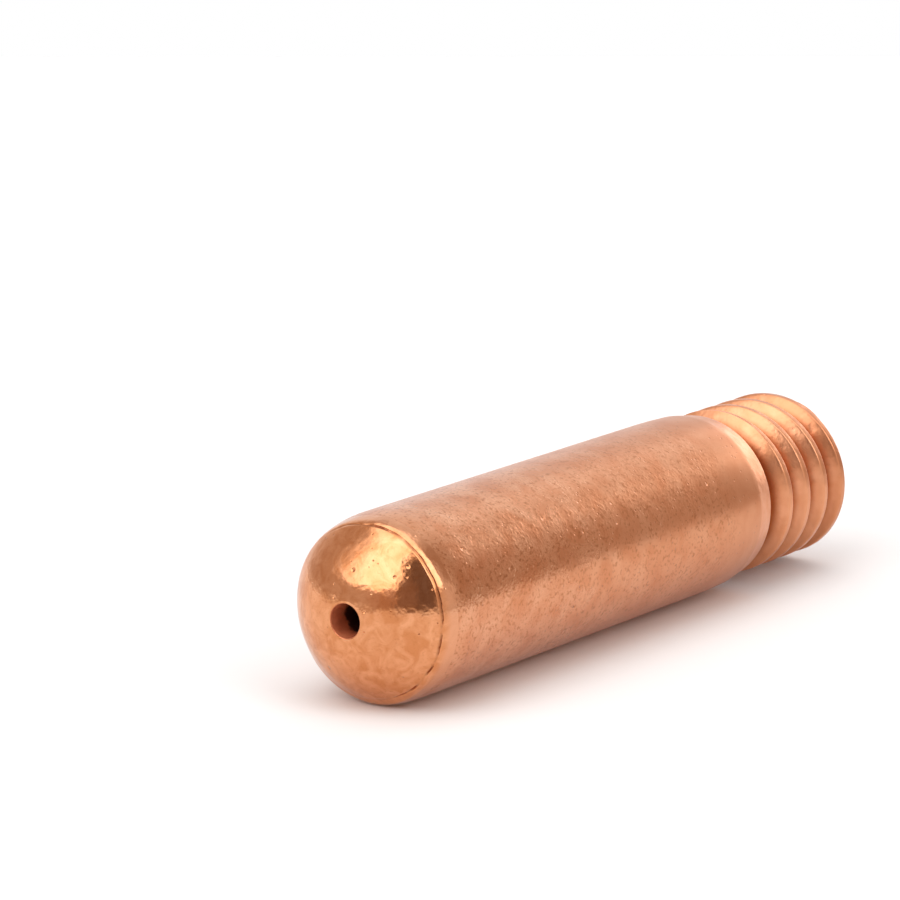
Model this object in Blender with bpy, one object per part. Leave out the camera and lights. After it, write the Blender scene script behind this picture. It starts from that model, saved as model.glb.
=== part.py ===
"""Welding contact tip: one turned copper piece with a domed nose, a plain barrel and a screw thread.

It stands on its threaded end. The origin is at the centre of that end face, and +Z runs along the
axis to the nose. Sizes below are in millimetres, and the model is in metres.
"""

import math

import bmesh
import bpy
from mathutils import Vector

MM = 0.001

# Whole tip
OVERALL_LENGTH = 28.6
BARREL_DIAMETER = 6.7
WIRE_BORE_DIAMETER = 1.2

# Domed nose: a spherical cap inside a thin raised lip, with a drilled hole in the middle
DOME_RISE = 1.52
LIP_WIDTH = 0.2
LIP_RISE = 0.03
LIP_DEPTH = 0.38
HOLE_EDGE_BREAK = 0.05

# Rear of the barrel: it draws in a little, then a cut taper leads to the square shoulder
BARREL_END_LENGTH = 1.8
BARREL_END_DROP = 0.05
TAPER_LENGTH = 0.9
TAPER_DROP = 0.135

# Thread: right-handed, 20 turns to the inch on a quarter-inch stem, with a relief neck above it
STEM_LENGTH = 6.0
THREAD_DIAMETER = 6.3
THREAD_PITCH = 1.27
THREAD_CREST = 0.3
THREAD_ROOT = 0.16
FLANK_ANGLE = math.radians(30)
NECK_UNDERCUT = 0.05
NECK_CLEARANCE = 0.03
END_CHAMFER = 0.3
LEAD_IN_DIAMETER = 2.6
LEAD_IN_ANGLE = math.radians(45)

# How far a cutter reaches past what it cuts
CUTTER_REACH = 0.15

# The groove's opening over the crests, the depth that its flanks then reach, and the neck's length,
# which lets the thread's cutter run out clear of the shoulder
THREAD_OPENING = THREAD_PITCH - THREAD_CREST
THREAD_DEPTH = (THREAD_OPENING - THREAD_ROOT) / (2 * math.tan(FLANK_ANGLE))
CUTTER_OPENING = THREAD_OPENING + 2 * CUTTER_REACH * math.tan(FLANK_ANGLE)
NECK_LENGTH = CUTTER_OPENING + 2 * NECK_CLEARANCE

# How finely round shapes are divided
SEGMENTS = 64
DOME_STEPS = 14
LIP_STEPS = 6
BARREL_END_STEPS = 4

# By how many of those segments the thread is turned, so that its crests stand where the photo shows them
THREAD_START = -23

COPPER_COLOUR = (0.72, 0.36, 0.22, 1.0)
COPPER_ROUGHNESS = 0.32


def clear_scene():
    for obj in list(bpy.data.objects):
        bpy.data.objects.remove(obj, do_unlink=True)


def arc(centre, half_width, half_height, first, last, steps):
    """Points (r, z) along an arc of a circle or an ellipse, from one angle to another, without the first."""
    points = []
    for step in range(1, steps + 1):
        angle = first + (last - first) * step / steps
        points.append((centre[0] + half_width * math.cos(angle), centre[1] + half_height * math.sin(angle)))
    return points


def nose_profile():
    """Points (r, z) from the bore's top edge, over the dome and the lip, to the barrel."""
    barrel = BARREL_DIAMETER / 2
    bore = WIRE_BORE_DIAMETER / 2
    hole_rim = (bore + HOLE_EDGE_BREAK, OVERALL_LENGTH)
    dome_foot = (barrel - LIP_WIDTH, OVERALL_LENGTH - DOME_RISE)
    # The cap's centre lies on the axis, as far from the hole's rim as from the dome's foot.
    rim_square = hole_rim[0] ** 2 + hole_rim[1] ** 2
    foot_square = dome_foot[0] ** 2 + dome_foot[1] ** 2
    dome_centre = (0.0, (rim_square - foot_square) / (2 * (hole_rim[1] - dome_foot[1])))
    dome_radius = math.dist(dome_centre, hole_rim)
    rim_angle = math.acos(hole_rim[0] / dome_radius)
    foot_angle = math.acos(dome_foot[0] / dome_radius)
    half_lip = LIP_WIDTH / 2
    lip_middle = barrel - half_lip
    lip_foot = dome_foot[1] - LIP_DEPTH
    quarter = math.pi / 2
    points = [(bore, OVERALL_LENGTH - HOLE_EDGE_BREAK), hole_rim]
    points += arc(dome_centre, dome_radius, dome_radius, rim_angle, foot_angle, DOME_STEPS)
    points += arc((lip_middle, dome_foot[1]), half_lip, LIP_RISE, math.pi, quarter, LIP_STEPS // 2)
    points += arc((lip_middle, lip_foot), half_lip, LIP_RISE + LIP_DEPTH, quarter, 0.0, LIP_STEPS)
    return points


def barrel_end_profile():
    """Points (r, z) down the drawn-in end of the barrel and the cut taper, to the shoulder."""
    barrel = BARREL_DIAMETER / 2
    bottom = STEM_LENGTH + TAPER_LENGTH
    points = []
    for step in range(BARREL_END_STEPS + 1):
        share = step / BARREL_END_STEPS
        points.append((barrel - BARREL_END_DROP * share**2, bottom + BARREL_END_LENGTH * (1 - share)))
    points.append((barrel - BARREL_END_DROP - TAPER_DROP, STEM_LENGTH))
    return points


def stem_profile():
    """Points (r, z) of the unthreaded stem: relief neck, thread blank, end chamfer and bore's lead-in."""
    crest = THREAD_DIAMETER / 2
    neck = crest - THREAD_DEPTH - NECK_UNDERCUT
    neck_bottom = STEM_LENGTH - NECK_LENGTH
    neck_slope = (crest - neck) * math.tan(FLANK_ANGLE)
    lead_in = LEAD_IN_DIAMETER / 2
    bore = WIRE_BORE_DIAMETER / 2
    return [
        (neck, STEM_LENGTH),
        (neck, neck_bottom + neck_slope),
        (crest, neck_bottom),
        (crest, END_CHAMFER),
        (crest - END_CHAMFER, 0.0),
        (lead_in, 0.0),
        (bore, (lead_in - bore) / math.tan(LEAD_IN_ANGLE)),
    ]


def mesh_object(name, mesh_data):
    obj = bpy.data.objects.new(name, mesh_data)
    bpy.context.scene.collection.objects.link(obj)
    return obj


def turned(name, profile):
    """A closed ring of points (r, z) in millimetres turned once round the Z axis."""
    mesh = bmesh.new()
    rings = []
    for step in range(SEGMENTS):
        angle = 2 * math.pi * step / SEGMENTS
        rings.append(
            [mesh.verts.new((r * MM * math.cos(angle), r * MM * math.sin(angle), z * MM)) for r, z in profile]
        )
    for step in range(SEGMENTS):
        here = rings[step]
        after = rings[(step + 1) % SEGMENTS]
        for point in range(len(profile)):
            following = (point + 1) % len(profile)
            mesh.faces.new((here[point], here[following], after[following], after[point]))
    bmesh.ops.recalc_face_normals(mesh, faces=mesh.faces)
    data = bpy.data.meshes.new(name)
    mesh.to_mesh(data)
    mesh.free()
    return mesh_object(name, data)


def thread_cutter():
    """The groove of the thread as a solid: its section, which widens outwards, swept along the helix."""
    crest = THREAD_DIAMETER / 2
    root = crest - THREAD_DEPTH
    outer = crest + CUTTER_REACH
    half_outer = CUTTER_OPENING / 2
    half_root = THREAD_ROOT / 2
    section = [(root, half_root), (outer, half_outer), (outer, -half_outer), (root, -half_root)]
    # It starts below the end face and stops in the middle of the relief neck.
    first_turn = -math.ceil(half_outer / THREAD_PITCH) - 1
    last_turn = (STEM_LENGTH - NECK_LENGTH / 2) / THREAD_PITCH
    steps = round((last_turn - first_turn) * SEGMENTS)
    mesh = bmesh.new()
    rings = []
    for step in range(steps + 1):
        # Each section lies half a step between the edges of the turned blank, so no edges coincide.
        turn = first_turn + (step + 0.5) / SEGMENTS
        angle = 2 * math.pi * (turn + THREAD_START / SEGMENTS)
        direction = Vector((math.cos(angle), math.sin(angle), 0.0))
        height = turn * THREAD_PITCH
        rings.append([mesh.verts.new((direction * r + Vector((0, 0, height + z))) * MM) for r, z in section])
    for here, after in zip(rings, rings[1:]):
        for point in range(len(section)):
            following = (point + 1) % len(section)
            mesh.faces.new((here[point], here[following], after[following], after[point]))
    mesh.faces.new(rings[0])
    mesh.faces.new(reversed(rings[-1]))
    bmesh.ops.recalc_face_normals(mesh, faces=mesh.faces)
    data = bpy.data.meshes.new("thread_cutter")
    mesh.to_mesh(data)
    mesh.free()
    cutter = mesh_object("thread_cutter", data)
    cutter.hide_render = True
    cutter.display_type = "WIRE"
    return cutter


def copper():
    material = bpy.data.materials.new("copper")
    material.use_nodes = True
    shader = material.node_tree.nodes["Principled BSDF"]
    shader.inputs["Base Color"].default_value = COPPER_COLOUR
    shader.inputs["Roughness"].default_value = COPPER_ROUGHNESS
    shader.inputs["Metallic"].default_value = 1.0
    material.diffuse_color = COPPER_COLOUR
    return material


def contact_tip():
    tip = turned("contact_tip", nose_profile() + barrel_end_profile() + stem_profile())
    cut = tip.modifiers.new("thread", "BOOLEAN")
    cut.operation = "DIFFERENCE"
    cut.solver = "EXACT"
    cut.object = thread_cutter()
    tip.data.materials.append(copper())
    tip.data.shade_smooth()
    tip.data.set_sharp_from_angle(angle=math.radians(28))
    return tip


clear_scene()
contact_tip()
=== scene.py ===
import math

import bpy
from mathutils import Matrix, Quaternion, Vector


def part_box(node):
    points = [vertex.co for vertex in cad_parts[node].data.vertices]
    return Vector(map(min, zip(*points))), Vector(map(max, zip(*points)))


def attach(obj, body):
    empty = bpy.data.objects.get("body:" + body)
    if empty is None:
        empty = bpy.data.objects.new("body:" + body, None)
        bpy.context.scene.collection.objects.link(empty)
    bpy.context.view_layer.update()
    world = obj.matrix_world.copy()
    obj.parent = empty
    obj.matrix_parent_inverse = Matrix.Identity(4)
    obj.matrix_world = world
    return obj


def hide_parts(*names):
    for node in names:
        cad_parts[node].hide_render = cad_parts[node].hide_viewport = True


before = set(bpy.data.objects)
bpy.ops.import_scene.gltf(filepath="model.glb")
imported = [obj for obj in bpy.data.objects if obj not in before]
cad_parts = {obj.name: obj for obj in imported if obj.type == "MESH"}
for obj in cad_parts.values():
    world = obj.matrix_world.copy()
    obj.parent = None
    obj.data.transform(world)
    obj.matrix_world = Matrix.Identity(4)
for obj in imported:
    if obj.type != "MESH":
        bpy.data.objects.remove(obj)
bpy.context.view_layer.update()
lowCorner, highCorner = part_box("contact_tip")
mm = 0.001
print("frame loaded:", ", ".join(sorted(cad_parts)))


def linearColour(hexCode, level=1.0):
    # sRGB hex to the linear colour that the shaders take, times a level of light
    parts = [int(hexCode[i:i + 2], 16) / 255 for i in (1, 3, 5)]
    parts = [c / 12.92 if c <= 0.04045 else ((c + 0.055) / 1.055) ** 2.4 for c in parts]
    return (*[c * level for c in parts], 1.0)


def fillInputs(tree, node, inputs):
    # an input is a value, an output, or a node, which stands for its first live output
    for key, value in inputs.items():
        if isinstance(value, bpy.types.Node):
            value = next(output for output in value.outputs if output.enabled)
        if isinstance(value, bpy.types.NodeSocket):
            tree.links.new(value, node.inputs[key])
        else:
            node.inputs[key].default_value = value


def addNode(tree, kind, inputs=None, **settings):
    node = tree.nodes.new(kind)
    for name, value in settings.items():
        setattr(node, name, value)
    fillInputs(tree, node, inputs or {})
    return node


# Camera: the photograph's view, in which the tip lies on its side with its nose to the lower left
cameraSettings = {
    "place": (0.0, -105.53, 161.43),  # mm
    "aim": (4.96, 10.926, 5.104),  # mm
    "roll": -107.2,  # degrees about the line of sight, which lays the standing tip down
    "lens": 200.0,
    "sensor": 36.0,
    "clip": (1.0, 5000.0),  # mm
}


def makeCamera(settings):
    place = Vector(settings["place"]) * mm
    look = Vector(settings["aim"]) * mm - place
    data = bpy.data.cameras.new("camera")
    data.lens = settings["lens"]
    data.sensor_width = settings["sensor"]
    data.clip_start, data.clip_end = (distance * mm for distance in settings["clip"])
    camera = bpy.data.objects.new("camera", data)
    bpy.context.scene.collection.objects.link(camera)
    camera.rotation_mode = "QUATERNION"
    camera.location = place
    level = look.to_track_quat("-Z", "Y")
    camera.rotation_quaternion = level @ Quaternion((0, 0, 1), math.radians(settings["roll"]))
    bpy.context.scene.camera = camera
    return look.normalized()


lineOfSight = makeCamera(cameraSettings)
print("camera placed")

# The photograph's table, on which the tip lies: its own up, and ahead and right as the camera sees them
upDegrees = -23.57


def roundTip(degrees):
    # a direction across the tip, counted from the table's up
    angle = math.radians(upDegrees + degrees)
    return Vector((math.cos(angle), math.sin(angle), 0.0))


tableUp = roundTip(0)
tableAhead = (lineOfSight - lineOfSight.dot(tableUp) * tableUp).normalized()
tableRight = tableAhead.cross(tableUp)

# The contact tip's outline, as radius and height in mm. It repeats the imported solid's sizes.
tipSizes = {
    "length": highCorner.z / mm,
    "barrel": (highCorner.x - lowCorner.x) / 2 / mm,
    "bore": 0.6,
    "holeBreak": 0.05,
    "domeRise": 1.52,
    "lipWidth": 0.2,
    "lipDepth": 0.38,
    "rollStart": 3.1,  # radius where the lip rolls over from the dome towards the barrel
    "rolls": ((53, 0.6, 18), (77, 5.47, 10)),  # where each roll starts, off the axis; its radius and steps
    "endLength": 1.8,  # where the barrel draws in before the taper
    "endDrop": 0.05,
    "taperLength": 0.9,
    "taperDrop": 0.135,
    "edgeRadius": 0.03,
    "stem": 6.0,
    "thread": 3.15,
    "pitch": 1.27,
    "crest": 0.3,
    "root": 0.16,
    "flank": math.radians(30),
    "threadStart": -23 / 64,  # turns
    "neckLength": 1.203,
    "neckUndercut": 0.05,
    "chamfer": 0.3,
    "leadIn": 1.3,
    "polishFoot": 26.58,  # height at which the nose's polish ends
}

# How finely that outline is divided, in steps or in mm between its points
tipDivisions = {
    "round": 192,
    "hole": 3,
    "dome": 44,
    "lineStart": 2.94,  # radius beyond which the dome takes the tool's line and is divided more finely
    "line": 20,
    "barrelEnd": 8,
    "edge": 4,
    "barrelSpacing": 0.3,
    "taperSpacing": 0.1,
    "threadSpacing": 0.026,
    "faceSpacing": 0.4,
    "leadInSpacing": 0.2,
    "boreSpacing": 2.0,
}
grooveDepth = (tipSizes["pitch"] - tipSizes["crest"] - tipSizes["root"]) / 2 / math.tan(tipSizes["flank"])
taperTop = tipSizes["stem"] + tipSizes["taperLength"]
domeFoot = tipSizes["length"] - tipSizes["domeRise"]
noseFoot = domeFoot - tipSizes["lipDepth"]


def arcPoints(centre, radius, first, last, steps):
    # points round a centre, from one angle to another, without the first
    points = []
    for step in range(1, steps + 1):
        angle = first + (last - first) * step / steps
        points.append((centre[0] + radius * math.cos(angle), centre[1] + radius * math.sin(angle)))
    return points


def straightPoints(start, end, spacing):
    # points after the start, up to and with the end
    steps = max(1, round(math.dist(start, end) / spacing))
    return [tuple(a + (b - a) * step / steps for a, b in zip(start, end)) for step in range(1, steps + 1)]


def nosePoints(s, d):
    rim = (s["bore"] + s["holeBreak"], s["length"])
    foot = (s["barrel"] - s["lipWidth"], domeFoot)
    gap = rim[0] ** 2 + rim[1] ** 2 - foot[0] ** 2 - foot[1] ** 2
    centre = (0.0, gap / 2 / (rim[1] - foot[1]))
    radius = math.dist(centre, rim)
    rimAngle, lineAngle, rollAngle = (
        math.acos(reach / radius) for reach in (rim[0], d["lineStart"], s["rollStart"])
    )
    points = [(s["bore"], s["length"] - s["holeBreak"])]
    points += arcPoints((rim[0], rim[1] - s["holeBreak"]), s["holeBreak"], math.pi, math.pi / 2, d["hole"])
    points += arcPoints(centre, radius, rimAngle, lineAngle, d["dome"])
    points += arcPoints(centre, radius, lineAngle, rollAngle, d["line"])
    (firstAngle, firstRadius, firstSteps), (lastAngle, lastRadius, lastSteps) = s["rolls"]
    first, last = math.radians(90 - firstAngle), math.radians(90 - lastAngle)
    centre = (points[-1][0] - firstRadius * math.cos(first), points[-1][1] - firstRadius * math.sin(first))
    points += arcPoints(centre, firstRadius, first, last, firstSteps)
    centre = (s["barrel"] - lastRadius, points[-1][1] - lastRadius * math.sin(last))
    points += arcPoints(centre, lastRadius, last, 0, lastSteps)
    return points


def barrelPoints(start, s, d):
    endTop = taperTop + s["endLength"]
    points = straightPoints(start, (s["barrel"], endTop), d["barrelSpacing"])
    for step in range(1, d["barrelEnd"] + 1):
        share = step / d["barrelEnd"]
        points.append((s["barrel"] - s["endDrop"] * share**2, endTop - s["endLength"] * share))
    shoulder = s["barrel"] - s["endDrop"] - s["taperDrop"]
    points += straightPoints(points[-1], (shoulder, s["stem"] + s["edgeRadius"]), d["taperSpacing"])
    corner = (shoulder - s["edgeRadius"], s["stem"] + s["edgeRadius"])
    points += arcPoints(corner, s["edgeRadius"], 0, -math.pi / 2, d["edge"])
    return points


def stemPoints(s, d):
    neck = s["thread"] - grooveDepth - s["neckUndercut"]
    neckFoot = s["stem"] - s["neckLength"]
    slopeTop = neckFoot + (s["thread"] - neck) * math.tan(s["flank"])
    edge = s["edgeRadius"]
    points = [(neck + 2 * edge, s["stem"]), (neck, s["stem"] - 2 * edge)]
    points += straightPoints(points[-1], (neck, slopeTop), d["taperSpacing"])
    for end in (
        (s["thread"], neckFoot),
        (s["thread"], s["chamfer"]),
        (s["thread"] - s["chamfer"] + edge, edge),
    ):
        points += straightPoints(points[-1], end, d["threadSpacing"])
    points += [(s["thread"] - s["chamfer"] - edge, 0.0)]
    points += straightPoints(points[-1], (s["leadIn"] + edge, 0.0), d["faceSpacing"])
    points += straightPoints((s["leadIn"], edge), (s["bore"], s["leadIn"] - s["bore"]), d["leadInSpacing"])
    points += straightPoints(points[-1], (s["bore"], s["length"] - s["holeBreak"]), d["boreSpacing"])[:-1]
    return points


outline = nosePoints(tipSizes, tipDivisions)
outline += barrelPoints(outline[-1], tipSizes, tipDivisions)
outline += stemPoints(tipSizes, tipDivisions)
print("outline of", len(outline), "points")


def startFinish(name):
    # a new material, and what its patterns can read: the place on the tip and its height
    material = bpy.data.materials.new(name)
    material.use_nodes = True
    tree = material.node_tree
    place = addNode(tree, "ShaderNodeTexCoord").outputs["Object"]
    height = addNode(tree, "ShaderNodeSeparateXYZ", {"Vector": place}).outputs["Z"]
    return material, tree, {"place": place, "height": height}


smoothRamps = ("grooveShade", "boreShade")  # these ease in and out


def addPatterns(tree, found, noises, ramps):
    # adds each noise, and then each ramp, by its name to what the finish has found so far
    for name, (size, detail, distortion) in noises.items():
        found[name] = addNode(tree, "ShaderNodeTexNoise", {
            "Vector": found["place"], "Scale": 1 / (size * mm), "Detail": detail, "Distortion": distortion,
        })
    for name, (source, low, high, first, last) in ramps.items():
        unit = 1 if source in noises else mm
        found[name] = addNode(tree, "ShaderNodeMapRange", {
            "Value": found[source], "From Min": low * unit, "From Max": high * unit,
            "To Min": first, "To Max": last,
        }, interpolation_type="SMOOTHSTEP" if name in smoothRamps else "LINEAR")


def addPits(tree, place, spacing, reach):
    # share of a pit at each point: only the cells whose middle lies at the surface show one
    cells = addNode(tree, "ShaderNodeTexVoronoi", {"Vector": place, "Scale": 1 / (spacing * mm)})
    return addNode(tree, "ShaderNodeMapRange", {
        "Value": cells, "From Min": 0.0, "From Max": reach / spacing, "To Min": 1.0, "To Max": 0.0,
    }, interpolation_type="SMOOTHSTEP")


# Small dents of handling: x, y, z and radius in mm
nickSettings = {
    "steepness": 0.3,  # depth over radius
    "nose": [
        (-1.33, 1.86, 27.92, 0.11), (0.85, -2.13, 27.92, 0.08), (-2.47, -0.84, 27.67, 0.08),
        (1.55, -0.79, 28.25, 0.1), (1.03, -2.52, 27.56, 0.08), (0.08, -0.88, 28.55, 0.07),
        (-0.53, -0.62, 28.57, 0.08), (-1.20, -2.19, 27.76, 0.07), (0.90, 0.14, 28.55, 0.09),
    ],
    "barrel": [
        (1.01, -3.19, 25.26, 0.08), (1.10, -3.16, 20.21, 0.08), (0.21, -3.34, 18.45, 0.06),
        (0.12, -3.35, 16.32, 0.07), (0.39, -3.33, 10.09, 0.09), (-1.57, -2.96, 19.17, 0.08),
        (-2.17, -2.56, 19.35, 0.09), (-1.75, -2.86, 18.37, 0.06), (-1.82, -2.81, 17.64, 0.07),
        (-1.69, -2.89, 17.09, 0.07), (-2.07, -2.64, 25.82, 0.06), (0.86, -3.24, 16.10, 0.07),
        (1.27, -3.10, 17.80, 0.06), (2.90, -1.68, 24.94, 0.08), (-1.46, -3.02, 12.89, 0.07),
    ],
}


def addNicks(tree, place, height, nicks):
    # presses the dents into a bump's height
    for x, y, z, radius in nicks:
        reach = addNode(tree, "ShaderNodeVectorMath", {
            0: place, 1: (x * mm, y * mm, z * mm),
        }, operation="DISTANCE")
        dip = addNode(tree, "ShaderNodeMapRange", {
            "Value": reach, "From Min": 0.0, "From Max": radius * mm,
            "To Min": radius * nickSettings["steepness"], "To Max": 0.0,
        }, interpolation_type="SMOOTHSTEP")
        height = addNode(tree, "ShaderNodeMath", {0: height, 1: dip}, operation="SUBTRACT")
    return height


def sumOf(tree, parts, total=0.0):
    # total of a few values, each times its own factor
    for value, factor in parts:
        total = addNode(tree, "ShaderNodeMath", {0: value, 1: factor, 2: total}, operation="MULTIPLY_ADD")
    return total


def layColours(tree, base, layers):
    # lays each colour over those before it, as far as its share at a point times its strength
    colour = linearColour(base)
    for share, strength, hexCode in layers:
        amount = addNode(tree, "ShaderNodeMath", {0: share, 1: strength}, operation="MULTIPLY")
        colour = addNode(tree, "ShaderNodeMix", {
            "Factor": amount, "A": colour, "B": linearColour(hexCode),
        }, data_type="RGBA")
    return colour


def endFinish(tree, colour, roughness, height=None, metallic=1.0):
    # hands a finish to its shader
    inputs = {"Base Color": colour, "Roughness": roughness, "Metallic": metallic}
    if height is not None:
        inputs["Normal"] = addNode(tree, "ShaderNodeBump", {
            "Height": height, "Distance": 1 * mm, "Strength": 1.0,
        })
    fillInputs(tree, tree.nodes["Principled BSDF"], inputs)


# Finishes. A noise is its feature size in mm, detail and distortion. A ramp is what it reads, the range
# of that, in mm for a height or a radius, and the values at both ends. Heights of bumps are in mm.
barrelFinish = {
    "noises": {
        "cloud": (1.1, 4.0, 0.4),
        "patch": (1.5, 2.0, 0.0),
        "swell": (0.45, 2.0, 0.0),
        "grain": (0.13, 2.0, 0.3),  # the real grain is finer, and this shows it as crinkles
    },
    "ramps": {
        "clouded": ("cloud", 0.34, 0.66, 0.0, 1.0),
        "speckled": ("grain", 0.53, 0.7, 0.0, 0.85),  # the grain's dips are darker
        "crinkled": ("patch", 0.4, 0.58, 0.003, 0.0095),  # bump of the grain, which comes in patches
        "dressed": ("height", 8.2, 9.6, 0.12, 1.0),  # the grain ends where the rear edge was dressed
        "satin": ("height", 12, 26, 0.28, 0.21),  # roughness, as the nose end was wiped smoother
        "rear": ("height", 9, 26, 0.55, 0.0),
    },
    # the share is so much for the grain's bump, and at least so much where there is none
    "pits": {"spacing": 0.27, "reach": 0.055, "share": (60.0, 0.2), "bump": -0.012},
    "swellBump": 0.012,
    "cloudRoughness": 0.06,
    "colours": {
        "base": "#EEAF88", "clouded": "#DC9267", "rear": "#D38A5E", "speckled": "#C07B4F", "pits": "#8E5231",
    },
    "pitStrength": 0.65,
}


def tumbledCopper(s):
    # drawn copper rod, tumbled after turning: satin, crinkled in patches and sprinkled with small pits
    material, tree, found = startFinish("tumbledCopper")
    addPatterns(tree, found, s["noises"], s["ramps"])
    speckled = addNode(tree, "ShaderNodeMath", {
        0: found["speckled"], 1: found["dressed"],
    }, operation="MULTIPLY")
    factor, least = s["pits"]["share"]
    pits = addNode(tree, "ShaderNodeMath", {
        0: addPits(tree, found["place"], s["pits"]["spacing"], s["pits"]["reach"]),
        1: sumOf(tree, ((found["crinkled"], factor),), least),
    }, operation="MULTIPLY")
    colours = s["colours"]
    colour = layColours(tree, colours["base"], (
        (found["clouded"], 1.0, colours["clouded"]),
        (found["rear"], 1.0, colours["rear"]),
        (speckled, 1.0, colours["speckled"]),
        (pits, s["pitStrength"], colours["pits"]),
    ))
    grain = addNode(tree, "ShaderNodeMath", {0: found["crinkled"], 1: found["grain"]}, operation="MULTIPLY")
    height = sumOf(tree, ((grain, 1.0), (found["swell"], s["swellBump"])))
    height = addNode(tree, "ShaderNodeMath", {0: height, 1: found["dressed"]}, operation="MULTIPLY")
    height = sumOf(tree, ((height, 1.0), (pits, s["pits"]["bump"])))
    height = addNicks(tree, found["place"], height, nickSettings["barrel"])
    roughness = sumOf(tree, ((found["satin"], 1.0), (found["cloud"], s["cloudRoughness"])))
    endFinish(tree, colour, roughness, height)
    return material


noseFinish = {
    "noises": {"wave": (0.42, 2.0, 0.0), "blotch": (0.62, 3.0, 1.2), "speck": (0.14, 2.0, 0.6)},
    "ramps": {
        "blotched": ("blotch", 0.32, 0.68, 0.0, 1.0),
        "specked": ("speck", 0.56, 0.74, 0.0, 0.3),
        "polish": ("blotch", 0.3, 0.7, 0.1, 0.16),  # roughness
        "rolled": ("height", 27.15, 26.85, 0.0, 0.75),  # the roll takes on the barrel's paler colour
    },
    "pits": {"spacing": 0.5, "reach": 0.05, "bump": -0.012},
    "waveBump": 0.018,
    "speckBump": 0.0015,
    "colours": {
        "base": "#F0A97A", "blotched": "#DA8E5C", "specked": "#BE7346", "pits": "#8A4C2B",
        "rolled": "#E8A882", "lineMark": "#6E3519",
    },
    "pitStrength": 0.6,
    # strength of the painted shade in the tool's line
    "lineShadeStrength": 0.65,
}


def polishedCopper(s):
    # nose burnished by the form tool: sharp reflections with wavy edges, over a cloudy, blotched colour
    material, tree, found = startFinish("polishedCopper")
    addPatterns(tree, found, s["noises"], s["ramps"])
    pits = addPits(tree, found["place"], s["pits"]["spacing"], s["pits"]["reach"])
    lineMark = addNode(tree, "ShaderNodeAttribute", attribute_name="lineShade").outputs["Fac"]
    colours = s["colours"]
    colour = layColours(tree, colours["base"], (
        (found["blotched"], 1.0, colours["blotched"]),
        (found["specked"], 1.0, colours["specked"]),
        (pits, s["pitStrength"], colours["pits"]),
        (found["rolled"], 1.0, colours["rolled"]),
        (lineMark, s["lineShadeStrength"], colours["lineMark"]),  # painted shade in the tool's line
    ))
    height = sumOf(tree, (
        (found["wave"], s["waveBump"]), (found["speck"], s["speckBump"]), (pits, s["pits"]["bump"]),
    ))
    height = addNicks(tree, found["place"], height, nickSettings["nose"])
    endFinish(tree, colour, found["polish"], height)
    return material


threadFinish = {
    "noises": {"ripple": (0.5, 3.0, 0.0)},
    "ramps": {
        "grooveShade": ("radius", 2.55, 2.95, 1.0, 0.0),  # painted shade deep in the grooves, where the roughness also rises
        "nearEnd": ("height", 0.3, 2.2, 0.55, 0.0),  # darker towards the threaded end
    },
    "rippleBump": 0.035,
    "roughness": {"base": 0.22, "ripple": 0.2, "grooveShade": 0.1},
    "colours": {"base": "#EFAC86", "ripple": "#DF9466", "nearEnd": "#C67A50", "grooveShade": "#A1542C"},
}


def freshCutCopper(s):
    # thread and taper cut after tumbling: bright on the crests, with painted shade and more roughness deep in
    # the grooves
    material, tree, found = startFinish("freshCutCopper")
    flat = addNode(tree, "ShaderNodeVectorMath", {
        0: found["place"], 1: (1.0, 1.0, 0.0),
    }, operation="MULTIPLY")
    found["radius"] = addNode(tree, "ShaderNodeVectorMath", {0: flat}, operation="LENGTH")
    addPatterns(tree, found, s["noises"], s["ramps"])
    colours = s["colours"]
    # the last layer is painted shade deep in the grooves
    colour = layColours(tree, colours["base"], [
        (found[name], 1.0, colours[name]) for name in ("ripple", "nearEnd", "grooveShade")
    ])
    rough = s["roughness"]
    roughness = sumOf(tree, [(found[name], rough[name]) for name in ("ripple", "grooveShade")], rough["base"])
    endFinish(tree, colour, roughness, sumOf(tree, ((found["ripple"], s["rippleBump"]),)))
    return material


boreFinish = {
    "noises": {"stain": (0.3, 2.0, 0.0)},
    "ramps": {"boreShade": ("edge", -0.75, -0.5, 1.0, 0.0)},  # mm from the mouth; painted shade deeper in the bore
    "edgeWander": 0.5,  # mm
    "metallic": 0.35,
    "roughness": 0.55,
    "colours": {"base": "#B45A36", "stain": "#E08A60", "boreShade": "#3C1C10"},
}


def drilledCopper(s):
    # wire bore: drilled and browned by oxide, red brown at its mouth, with painted shade making it near black
    # further in
    material, tree, found = startFinish("drilledCopper")
    addPatterns(tree, found, s["noises"], {})
    mouth = tipSizes["length"] * mm
    found["edge"] = sumOf(tree, ((found["stain"], s["edgeWander"] * mm), (found["height"], 1.0)), -mouth)
    addPatterns(tree, found, {}, s["ramps"])
    colours = s["colours"]
    # the last layer is painted shade deeper in the bore
    colour = layColours(tree, colours["base"], [
        (found[name], 1.0, colours[name]) for name in ("stain", "boreShade")
    ])
    endFinish(tree, colour, s["roughness"], metallic=s["metallic"])
    return material


# The marks that turning and handling left in the shape, as the tree's own inputs
wearSettings = {
    "Lip line radius": 3.045 * mm,
    "Lip line shift": 0.035 * mm,  # the form tool ran a little off centre, towards the table's up
    "Lip line wander": 0.05 * mm,
    "Lip line width": 0.042 * mm,
    "Lip line depth": 0.06 * mm,
    "Unevenness": 0.01 * mm,
    "Thread rounding": 0.14 * mm,
    "Lip fullness": 0.075 * mm,  # the roll is a little fuller where it nears the table
}

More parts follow.
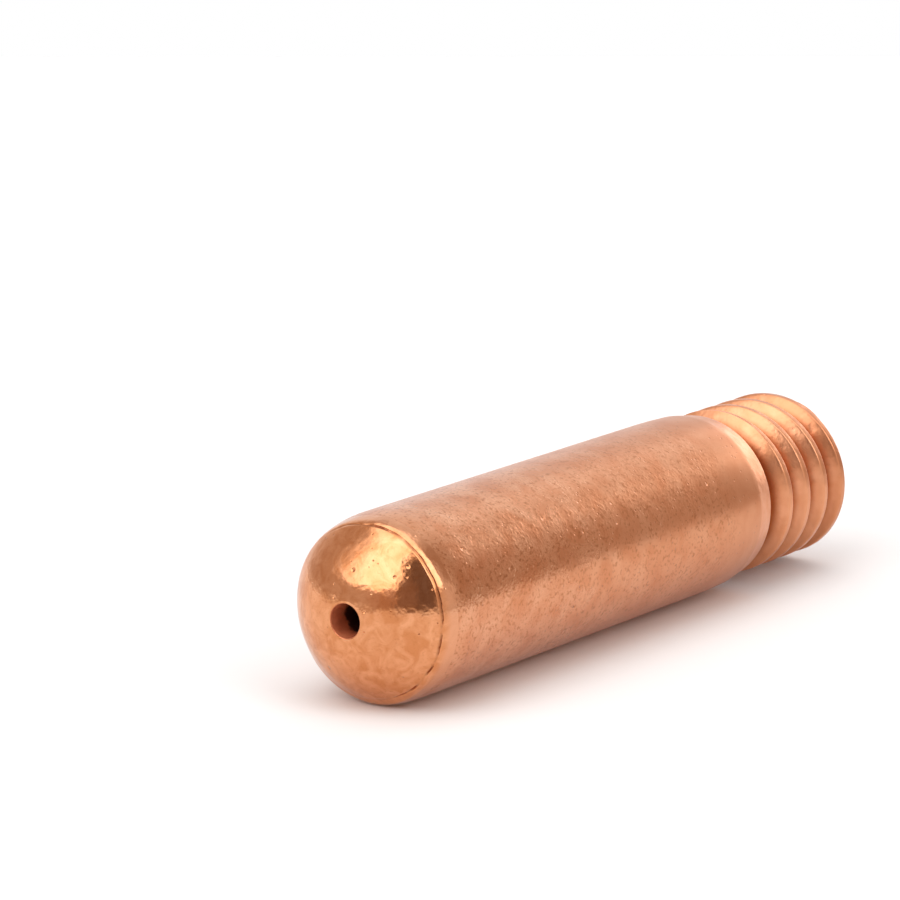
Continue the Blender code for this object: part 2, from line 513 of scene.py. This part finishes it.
# Where those marks lie. Directions are in degrees from the table's up. The line's two noises read only
# the direction, so their scales have no unit. A range fades its mark in from one value to the other.
wearPlaces = {
    "toolLean": 290,
    "leanRange": (-0.45, 0.5),
    "wander": (3.5, 4.0),  # scale and detail
    "breaks": (5.0, 3.0, 4.0),  # scale, detail and seed
    "breakRange": (0.4, 0.5, 0.15, 1.0),
    "fullSide": 165,
    "fullSideRange": (0.6, 0.9),
    "fullTopRange": (27.2, 26.95),  # mm
    "fullFootRange": (25.9, 26.75),  # mm
    "fullRadiusRange": (2.4, 2.8),  # mm
    "swell": (2.6, 1.0),  # mm, and detail
}


def makeTip():
    # the outline is turned once round the axis, then the thread is cut as a rule of angle and height
    tree = bpy.data.node_groups.new("turnContactTip", "GeometryNodeTree")
    tree.interface.new_socket("Geometry", in_out="INPUT", socket_type="NodeSocketGeometry")
    tree.interface.new_socket("Geometry", in_out="OUTPUT", socket_type="NodeSocketGeometry")
    values = {
        "Segments": tipDivisions["round"],
        "Stem length": tipSizes["stem"] * mm,
        "Thread pitch": tipSizes["pitch"] * mm,
        "Thread start": tipSizes["threadStart"],
        "Thread root radius": (tipSizes["thread"] - grooveDepth) * mm,
        "Thread root half width": tipSizes["root"] / 2 * mm,
        "Flank rise": 1 / math.tan(tipSizes["flank"]),
        "Nose foot": noseFoot * mm,
        "Polish foot": tipSizes["polishFoot"] * mm,
        "Taper top": taperTop * mm,
        "Bore limit": (tipSizes["bore"] + tipSizes["holeBreak"] / 2) * mm,
        **wearSettings,
    }
    for name, value in values.items():
        kind = "NodeSocketInt" if isinstance(value, int) else "NodeSocketFloat"
        tree.interface.new_socket(name, in_out="INPUT", socket_type=kind)
    given = addNode(tree, "NodeGroupInput").outputs

    # turning
    railRadius = 1 * mm
    rail = addNode(tree, "GeometryNodeCurvePrimitiveCircle", {
        "Resolution": given["Segments"], "Radius": railRadius,
    })
    section = addNode(tree, "GeometryNodeMeshToCurve", {"Mesh": given["Geometry"]})
    body = addNode(tree, "GeometryNodeCurveToMesh", {"Curve": rail, "Profile Curve": section})

    # radius, height and turn of each point
    place = addNode(tree, "GeometryNodeInputPosition")
    axes = addNode(tree, "ShaderNodeSeparateXYZ", {"Vector": place}).outputs
    height = axes["Z"]
    flat = addNode(tree, "ShaderNodeCombineXYZ", {"X": axes["X"], "Y": axes["Y"]})
    radius = addNode(tree, "ShaderNodeVectorMath", {0: flat}, operation="LENGTH")
    outward = addNode(tree, "ShaderNodeVectorMath", {0: flat}, operation="NORMALIZE")
    angle = addNode(tree, "ShaderNodeMath", {0: axes["Y"], 1: axes["X"]}, operation="ARCTAN2")
    turn = addNode(tree, "ShaderNodeMath", {0: angle, 1: 2 * math.pi}, operation="DIVIDE")
    turn = addNode(tree, "ShaderNodeMath", {0: turn, 1: given["Thread start"]}, operation="SUBTRACT")

    # thread: distance from the groove's middle line, then the flanks' radius there
    rise = addNode(tree, "ShaderNodeMath", {0: height, 1: given["Thread pitch"]}, operation="DIVIDE")
    phase = addNode(tree, "ShaderNodeMath", {0: rise, 1: turn}, operation="SUBTRACT")
    share = addNode(tree, "ShaderNodeMath", {0: phase, 1: 0.5}, operation="PINGPONG")
    across = addNode(tree, "ShaderNodeMath", {0: share, 1: given["Thread pitch"]}, operation="MULTIPLY")
    past = addNode(tree, "ShaderNodeMath", {
        0: across, 1: given["Thread root half width"],
    }, operation="SUBTRACT")
    flank = addNode(tree, "ShaderNodeMath", {
        0: past, 1: given["Flank rise"], 2: given["Thread root radius"],
    }, operation="MULTIPLY_ADD")
    groove = addNode(tree, "ShaderNodeMath", {
        0: flank, 1: given["Thread root radius"], 2: given["Thread rounding"],
    }, operation="SMOOTH_MAX")
    cut = addNode(tree, "ShaderNodeMath", {
        0: radius, 1: groove, 2: given["Thread rounding"],
    }, operation="SMOOTH_MIN")
    onStem = addNode(tree, "ShaderNodeMath", {0: height, 1: given["Stem length"]}, operation="LESS_THAN")
    threaded = addNode(tree, "GeometryNodeSwitch", {
        "Switch": onStem, "False": radius, "True": cut,
    }, input_type="FLOAT")
    depth = addNode(tree, "ShaderNodeMath", {0: threaded, 1: radius}, operation="SUBTRACT")
    inward = addNode(tree, "ShaderNodeVectorMath", {0: outward, "Scale": depth}, operation="SCALE")
    body = addNode(tree, "GeometryNodeSetPosition", {"Geometry": body, "Offset": inward})

    # fine line that the form tool left inside the lip: off centre, wandering, broken in places, and
    # deepest on the side that the tool leaned to
    raised, leaned, sided = (
        addNode(tree, "ShaderNodeVectorMath", {0: outward, 1: axis}, operation="DOT_PRODUCT")
        for axis in (tableUp, roundTip(wearPlaces["toolLean"]), roundTip(wearPlaces["fullSide"]))
    )
    scale, detail = wearPlaces["wander"]
    wander = addNode(tree, "ShaderNodeTexNoise", {"Vector": outward, "Scale": scale, "Detail": detail})
    wander = addNode(tree, "ShaderNodeMapRange", {"Value": wander, "To Min": -1.0, "To Max": 1.0})
    line = addNode(tree, "ShaderNodeMath", {
        0: wander, 1: given["Lip line wander"], 2: given["Lip line radius"],
    }, operation="MULTIPLY_ADD")
    line = addNode(tree, "ShaderNodeMath", {
        0: raised, 1: given["Lip line shift"], 2: line,
    }, operation="MULTIPLY_ADD")
    off = addNode(tree, "ShaderNodeMath", {0: radius, 1: line}, operation="SUBTRACT")
    off = addNode(tree, "ShaderNodeMath", {0: off}, operation="ABSOLUTE")
    bell = addNode(tree, "ShaderNodeMapRange", {
        "Value": off, "From Min": 0.0, "From Max": given["Lip line width"], "To Min": 1.0, "To Max": 0.0,
    }, interpolation_type="SMOOTHSTEP")
    low, high = wearPlaces["leanRange"]
    bite = addNode(tree, "ShaderNodeMapRange", {
        "Value": leaned, "From Min": low, "From Max": high,
    }, interpolation_type="SMOOTHSTEP")
    scale, detail, seed = wearPlaces["breaks"]
    breaks = addNode(tree, "ShaderNodeTexNoise", {
        "Vector": outward, "Scale": scale, "Detail": detail, "W": seed,
    }, noise_dimensions="4D")
    low, high, first, last = wearPlaces["breakRange"]
    breaks = addNode(tree, "ShaderNodeMapRange", {
        "Value": breaks, "From Min": low, "From Max": high, "To Min": first, "To Max": last,
    })
    lineMark = addNode(tree, "ShaderNodeMath", {0: bell, 1: bite}, operation="MULTIPLY")
    lineMark = addNode(tree, "ShaderNodeMath", {0: lineMark, 1: breaks}, operation="MULTIPLY")
    # the line's share is kept for the nose's finish, which paints shade into the line
    body = addNode(tree, "GeometryNodeStoreNamedAttribute", {
        "Geometry": body, "Name": "lineShade", "Value": lineMark,
    }, data_type="FLOAT", domain="POINT")
    drop = addNode(tree, "ShaderNodeMath", {0: lineMark, 1: given["Lip line depth"]}, operation="MULTIPLY")
    down = addNode(tree, "ShaderNodeVectorMath", {0: (0.0, 0.0, -1.0), "Scale": drop}, operation="SCALE")
    onNose = addNode(tree, "ShaderNodeMath", {0: height, 1: given["Nose foot"]}, operation="GREATER_THAN")
    body = addNode(tree, "GeometryNodeSetPosition", {"Geometry": body, "Selection": onNose, "Offset": down})

    # fuller roll on the table's side
    bulge = given["Lip fullness"]
    for value, unit, (low, high) in (
        (height, mm, wearPlaces["fullTopRange"]),
        (height, mm, wearPlaces["fullFootRange"]),
        (radius, mm, wearPlaces["fullRadiusRange"]),
        (sided, 1, wearPlaces["fullSideRange"]),
    ):
        share = addNode(tree, "ShaderNodeMapRange", {
            "Value": value, "From Min": low * unit, "From Max": high * unit,
        }, interpolation_type="SMOOTHSTEP")
        bulge = addNode(tree, "ShaderNodeMath", {0: bulge, 1: share}, operation="MULTIPLY")
    bulge = addNode(tree, "ShaderNodeVectorMath", {0: outward, "Scale": bulge}, operation="SCALE")
    body = addNode(tree, "GeometryNodeSetPosition", {"Geometry": body, "Offset": bulge})

    # slight unevenness of a hand-dressed surface, always inwards
    size, detail = wearPlaces["swell"]
    swell = addNode(tree, "ShaderNodeTexNoise", {"Vector": place, "Scale": 1 / (size * mm), "Detail": detail})
    sink = addNode(tree, "ShaderNodeMath", {0: swell, 1: given["Unevenness"]}, operation="MULTIPLY")
    sink = addNode(tree, "ShaderNodeMath", {0: sink, 1: -1.0}, operation="MULTIPLY")
    normal = addNode(tree, "GeometryNodeInputNormal")
    sink = addNode(tree, "ShaderNodeVectorMath", {0: normal, "Scale": sink}, operation="SCALE")
    aboveCut = addNode(tree, "ShaderNodeMath", {0: height, 1: given["Taper top"]}, operation="GREATER_THAN")
    body = addNode(tree, "GeometryNodeSetPosition", {"Geometry": body, "Selection": aboveCut, "Offset": sink})

    # finishes by place
    inBore = addNode(tree, "ShaderNodeMath", {0: radius, 1: given["Bore limit"]}, operation="LESS_THAN")
    onCut = addNode(tree, "ShaderNodeMath", {0: height, 1: given["Taper top"]}, operation="LESS_THAN")
    onPolish = addNode(tree, "ShaderNodeMath", {0: height, 1: given["Polish foot"]}, operation="GREATER_THAN")
    for material, where in (
        (tumbledCopper(barrelFinish), True),
        (polishedCopper(noseFinish), onPolish),
        (freshCutCopper(threadFinish), onCut),
        (drilledCopper(boreFinish), inBore),
    ):
        body = addNode(tree, "GeometryNodeSetMaterial", {
            "Geometry": body, "Selection": where, "Material": material,
        })
    body = addNode(tree, "GeometryNodeRealizeInstances", {"Geometry": body})
    addNode(tree, "NodeGroupOutput", {"Geometry": body})

    # the closed outline as edges, its radius measured from the rail
    data = bpy.data.meshes.new("tipOutline")
    corners = [(r * mm - railRadius, -z * mm, 0.0) for r, z in outline]
    data.from_pydata(corners, [(i, (i + 1) % len(corners)) for i in range(len(corners))], [])
    pattern = bpy.data.objects.new("tipOutline", data)
    bpy.context.scene.collection.objects.link(pattern)
    modifier = pattern.modifiers.new("turning", "NODES")
    modifier.node_group = tree
    for item in tree.interface.items_tree:
        if item.in_out == "INPUT" and item.name in values:
            modifier[item.identifier] = values[item.name]
    graph = bpy.context.evaluated_depsgraph_get()
    mesh = bpy.data.meshes.new_from_object(pattern.evaluated_get(graph), depsgraph=graph)
    pattern.modifiers.clear()
    bpy.data.objects.remove(pattern)
    mesh.name = "contactTip"
    tip = bpy.data.objects.new("contactTip", mesh)
    bpy.context.scene.collection.objects.link(tip)
    mesh.shade_smooth()
    mesh.set_sharp_from_angle(angle=math.radians(40))
    return tip


tip = makeTip()
print("contact tip turned:", len(tip.data.polygons), "faces")
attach(tip, "root")
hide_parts("contact_tip")

# Table: the white sweep under the lying tip. It shows only from its upper side.
tableSettings = {
    "ahead": (-150.0, 150.0),  # mm
    "right": (-150.0, 62.0),
    "white": "#F0EFEF",  # as the camera sees the paper
    "grey": "#DBD9D9",  # as the metal and the shadows see it
    "glow": 0.08,  # what lifts the sweep to white in the metal, and lights nothing
}


def makeTable(settings):
    centre = -tableUp * tipSizes["barrel"] * mm + Vector((0, 0, tipSizes["length"] / 2 * mm))
    near, far = settings["ahead"]
    left, right = settings["right"]
    corners = [
        centre + (tableAhead * a + tableRight * b) * mm
        for a, b in ((near, left), (near, right), (far, right), (far, left))
    ]
    data = bpy.data.meshes.new("table")
    data.from_pydata(corners, [], [(0, 1, 2, 3)])
    if data.polygons[0].normal.dot(tableUp) < 0:
        data.flip_normals()
    table = bpy.data.objects.new("table", data)
    bpy.context.scene.collection.objects.link(table)

    # white paper sweep: matt, and blown out to white by the lamps
    material = bpy.data.materials.new("paperSweep")
    material.use_nodes = True
    tree = material.node_tree
    tree.nodes.clear()
    path = addNode(tree, "ShaderNodeLightPath").outputs
    white, grey = (linearColour(settings[name]) for name in ("white", "grey"))
    shade = addNode(tree, "ShaderNodeMix", {
        "Factor": path["Is Camera Ray"], "A": grey, "B": white,
    }, data_type="RGBA")
    paper = addNode(tree, "ShaderNodeBsdfDiffuse", {"Color": shade})
    glow = addNode(tree, "ShaderNodeMath", {
        0: path["Is Glossy Ray"], 1: settings["glow"],
    }, operation="MULTIPLY")
    lift = addNode(tree, "ShaderNodeEmission", {"Strength": glow})
    lit = addNode(tree, "ShaderNodeAddShader", {0: paper, 1: lift})
    clear = addNode(tree, "ShaderNodeBsdfTransparent")
    back = addNode(tree, "ShaderNodeNewGeometry").outputs["Backfacing"]
    side = addNode(tree, "ShaderNodeMixShader", {0: back, 1: lit, 2: clear})
    addNode(tree, "ShaderNodeOutputMaterial", {"Surface": side})
    data.materials.append(material)
    return table


makeTable(tableSettings)

# Studio light. Angles are in degrees: azimuth 0 is the camera's side and 90 the left of the
# photograph, and elevation is above the table. Each panel covers those before it, and gives its
# azimuth from and to, the widths of those two soft edges, and its elevation in the same way.
studioSettings = {
    "below": ("#FFFFFF", 0.95),
    "room": ("#FFEDE3", 0.6),
    "horizon": 3.0,
    "panels": {
        "overhead": ((-181, 181, 1, 1), (60, 91, 14, 1), "#FFFFFF", 1.85),
        "softboxLeft": ((3, 78, 3, 60), (19, 74, 6, 14), "#FFFFFF", 2.4),
        "softboxRight": ((-80, -29, 8, 4), (23, 70, 4, 14), "#FFFFFF", 2.3),
        "lowFront": ((3, 42, 3, 24), (2, 18, 4, 5), "#FFE0D0", 0.55),
        "lowRight": ((-97, -29, 6, 4), (2, 23, 4, 3), "#FFF2EA", 0.78),
        "cameraShade": ((-29, 9, 4, 4), (1, 54, 4, 10), "#FFE2D6", 0.2),
        "cameraStand": ((-6, 16, 3, 5), (2, 33, 4, 18), "#FFE0D0", 0.3),
        "backLeft": ((140, 181, 40, 1), (-4, 42, 4, 26), "#FAFCFF", 1.0),
        "backRight": ((-181, -100, 1, 2), (-4, 56, 4, 26), "#FCFCFD", 0.95),
        "rightWall": ((-130, -92, 50, 8), (-12, 60, 3, 30), "#FFDEC5", 0.44),
        "backWindow": ((-162, -127, 8, 5), (3, 28, 4, 5), "#FFFFFF", 2.3),
    },
}


def makeStudio(settings):
    world = bpy.data.worlds.new("studio")
    bpy.context.scene.world = world
    world.use_nodes = True
    tree = world.node_tree
    tree.nodes.clear()
    way = addNode(tree, "ShaderNodeTexCoord").outputs["Generated"]
    up, back, left = (
        addNode(tree, "ShaderNodeVectorMath", {0: way, 1: axis}, operation="DOT_PRODUCT")
        for axis in (tableUp, -tableAhead, -tableRight)
    )
    azimuth = addNode(tree, "ShaderNodeMath", {0: left, 1: back}, operation="ARCTAN2")
    elevation = addNode(tree, "ShaderNodeMath", {0: up}, operation="ARCSINE")
    azimuth, elevation = (
        addNode(tree, "ShaderNodeMath", {0: angle}, operation="DEGREES") for angle in (azimuth, elevation)
    )
    below, room = (linearColour(*settings[name]) for name in ("below", "room"))
    horizon = addNode(tree, "ShaderNodeMapRange", {
        "Value": elevation, "From Min": -settings["horizon"], "From Max": settings["horizon"],
    })
    light = addNode(tree, "ShaderNodeMix", {"Factor": horizon, "A": below, "B": room}, data_type="RGBA")
    for sides, heights, hexCode, level in settings["panels"].values():
        share = 1.0
        for value, (low, high, softLow, softHigh) in ((azimuth, sides), (elevation, heights)):
            for edge, soft in ((low, softLow), (high, -softHigh)):
                ramp = addNode(tree, "ShaderNodeMapRange", {
                    "Value": value, "From Min": edge - soft / 2, "From Max": edge + soft / 2,
                }, interpolation_type="SMOOTHSTEP")
                share = addNode(tree, "ShaderNodeMath", {0: ramp, 1: share}, operation="MULTIPLY")
        light = addNode(tree, "ShaderNodeMix", {
            "Factor": share, "A": light, "B": linearColour(hexCode, level),
        }, data_type="RGBA")
    lamps = addNode(tree, "ShaderNodeBackground", {"Color": light, "Strength": 1.0})
    white = addNode(tree, "ShaderNodeBackground", {"Color": (1.0, 1.0, 1.0, 1.0), "Strength": 1.0})
    seen = addNode(tree, "ShaderNodeLightPath").outputs["Is Camera Ray"]
    mixed = addNode(tree, "ShaderNodeMixShader", {0: seen, 1: lamps, 2: white})
    addNode(tree, "ShaderNodeOutputWorld", {"Surface": mixed})


makeStudio(studioSettings)
bpy.context.scene.view_settings.view_transform = "Standard"
print("studio lit")
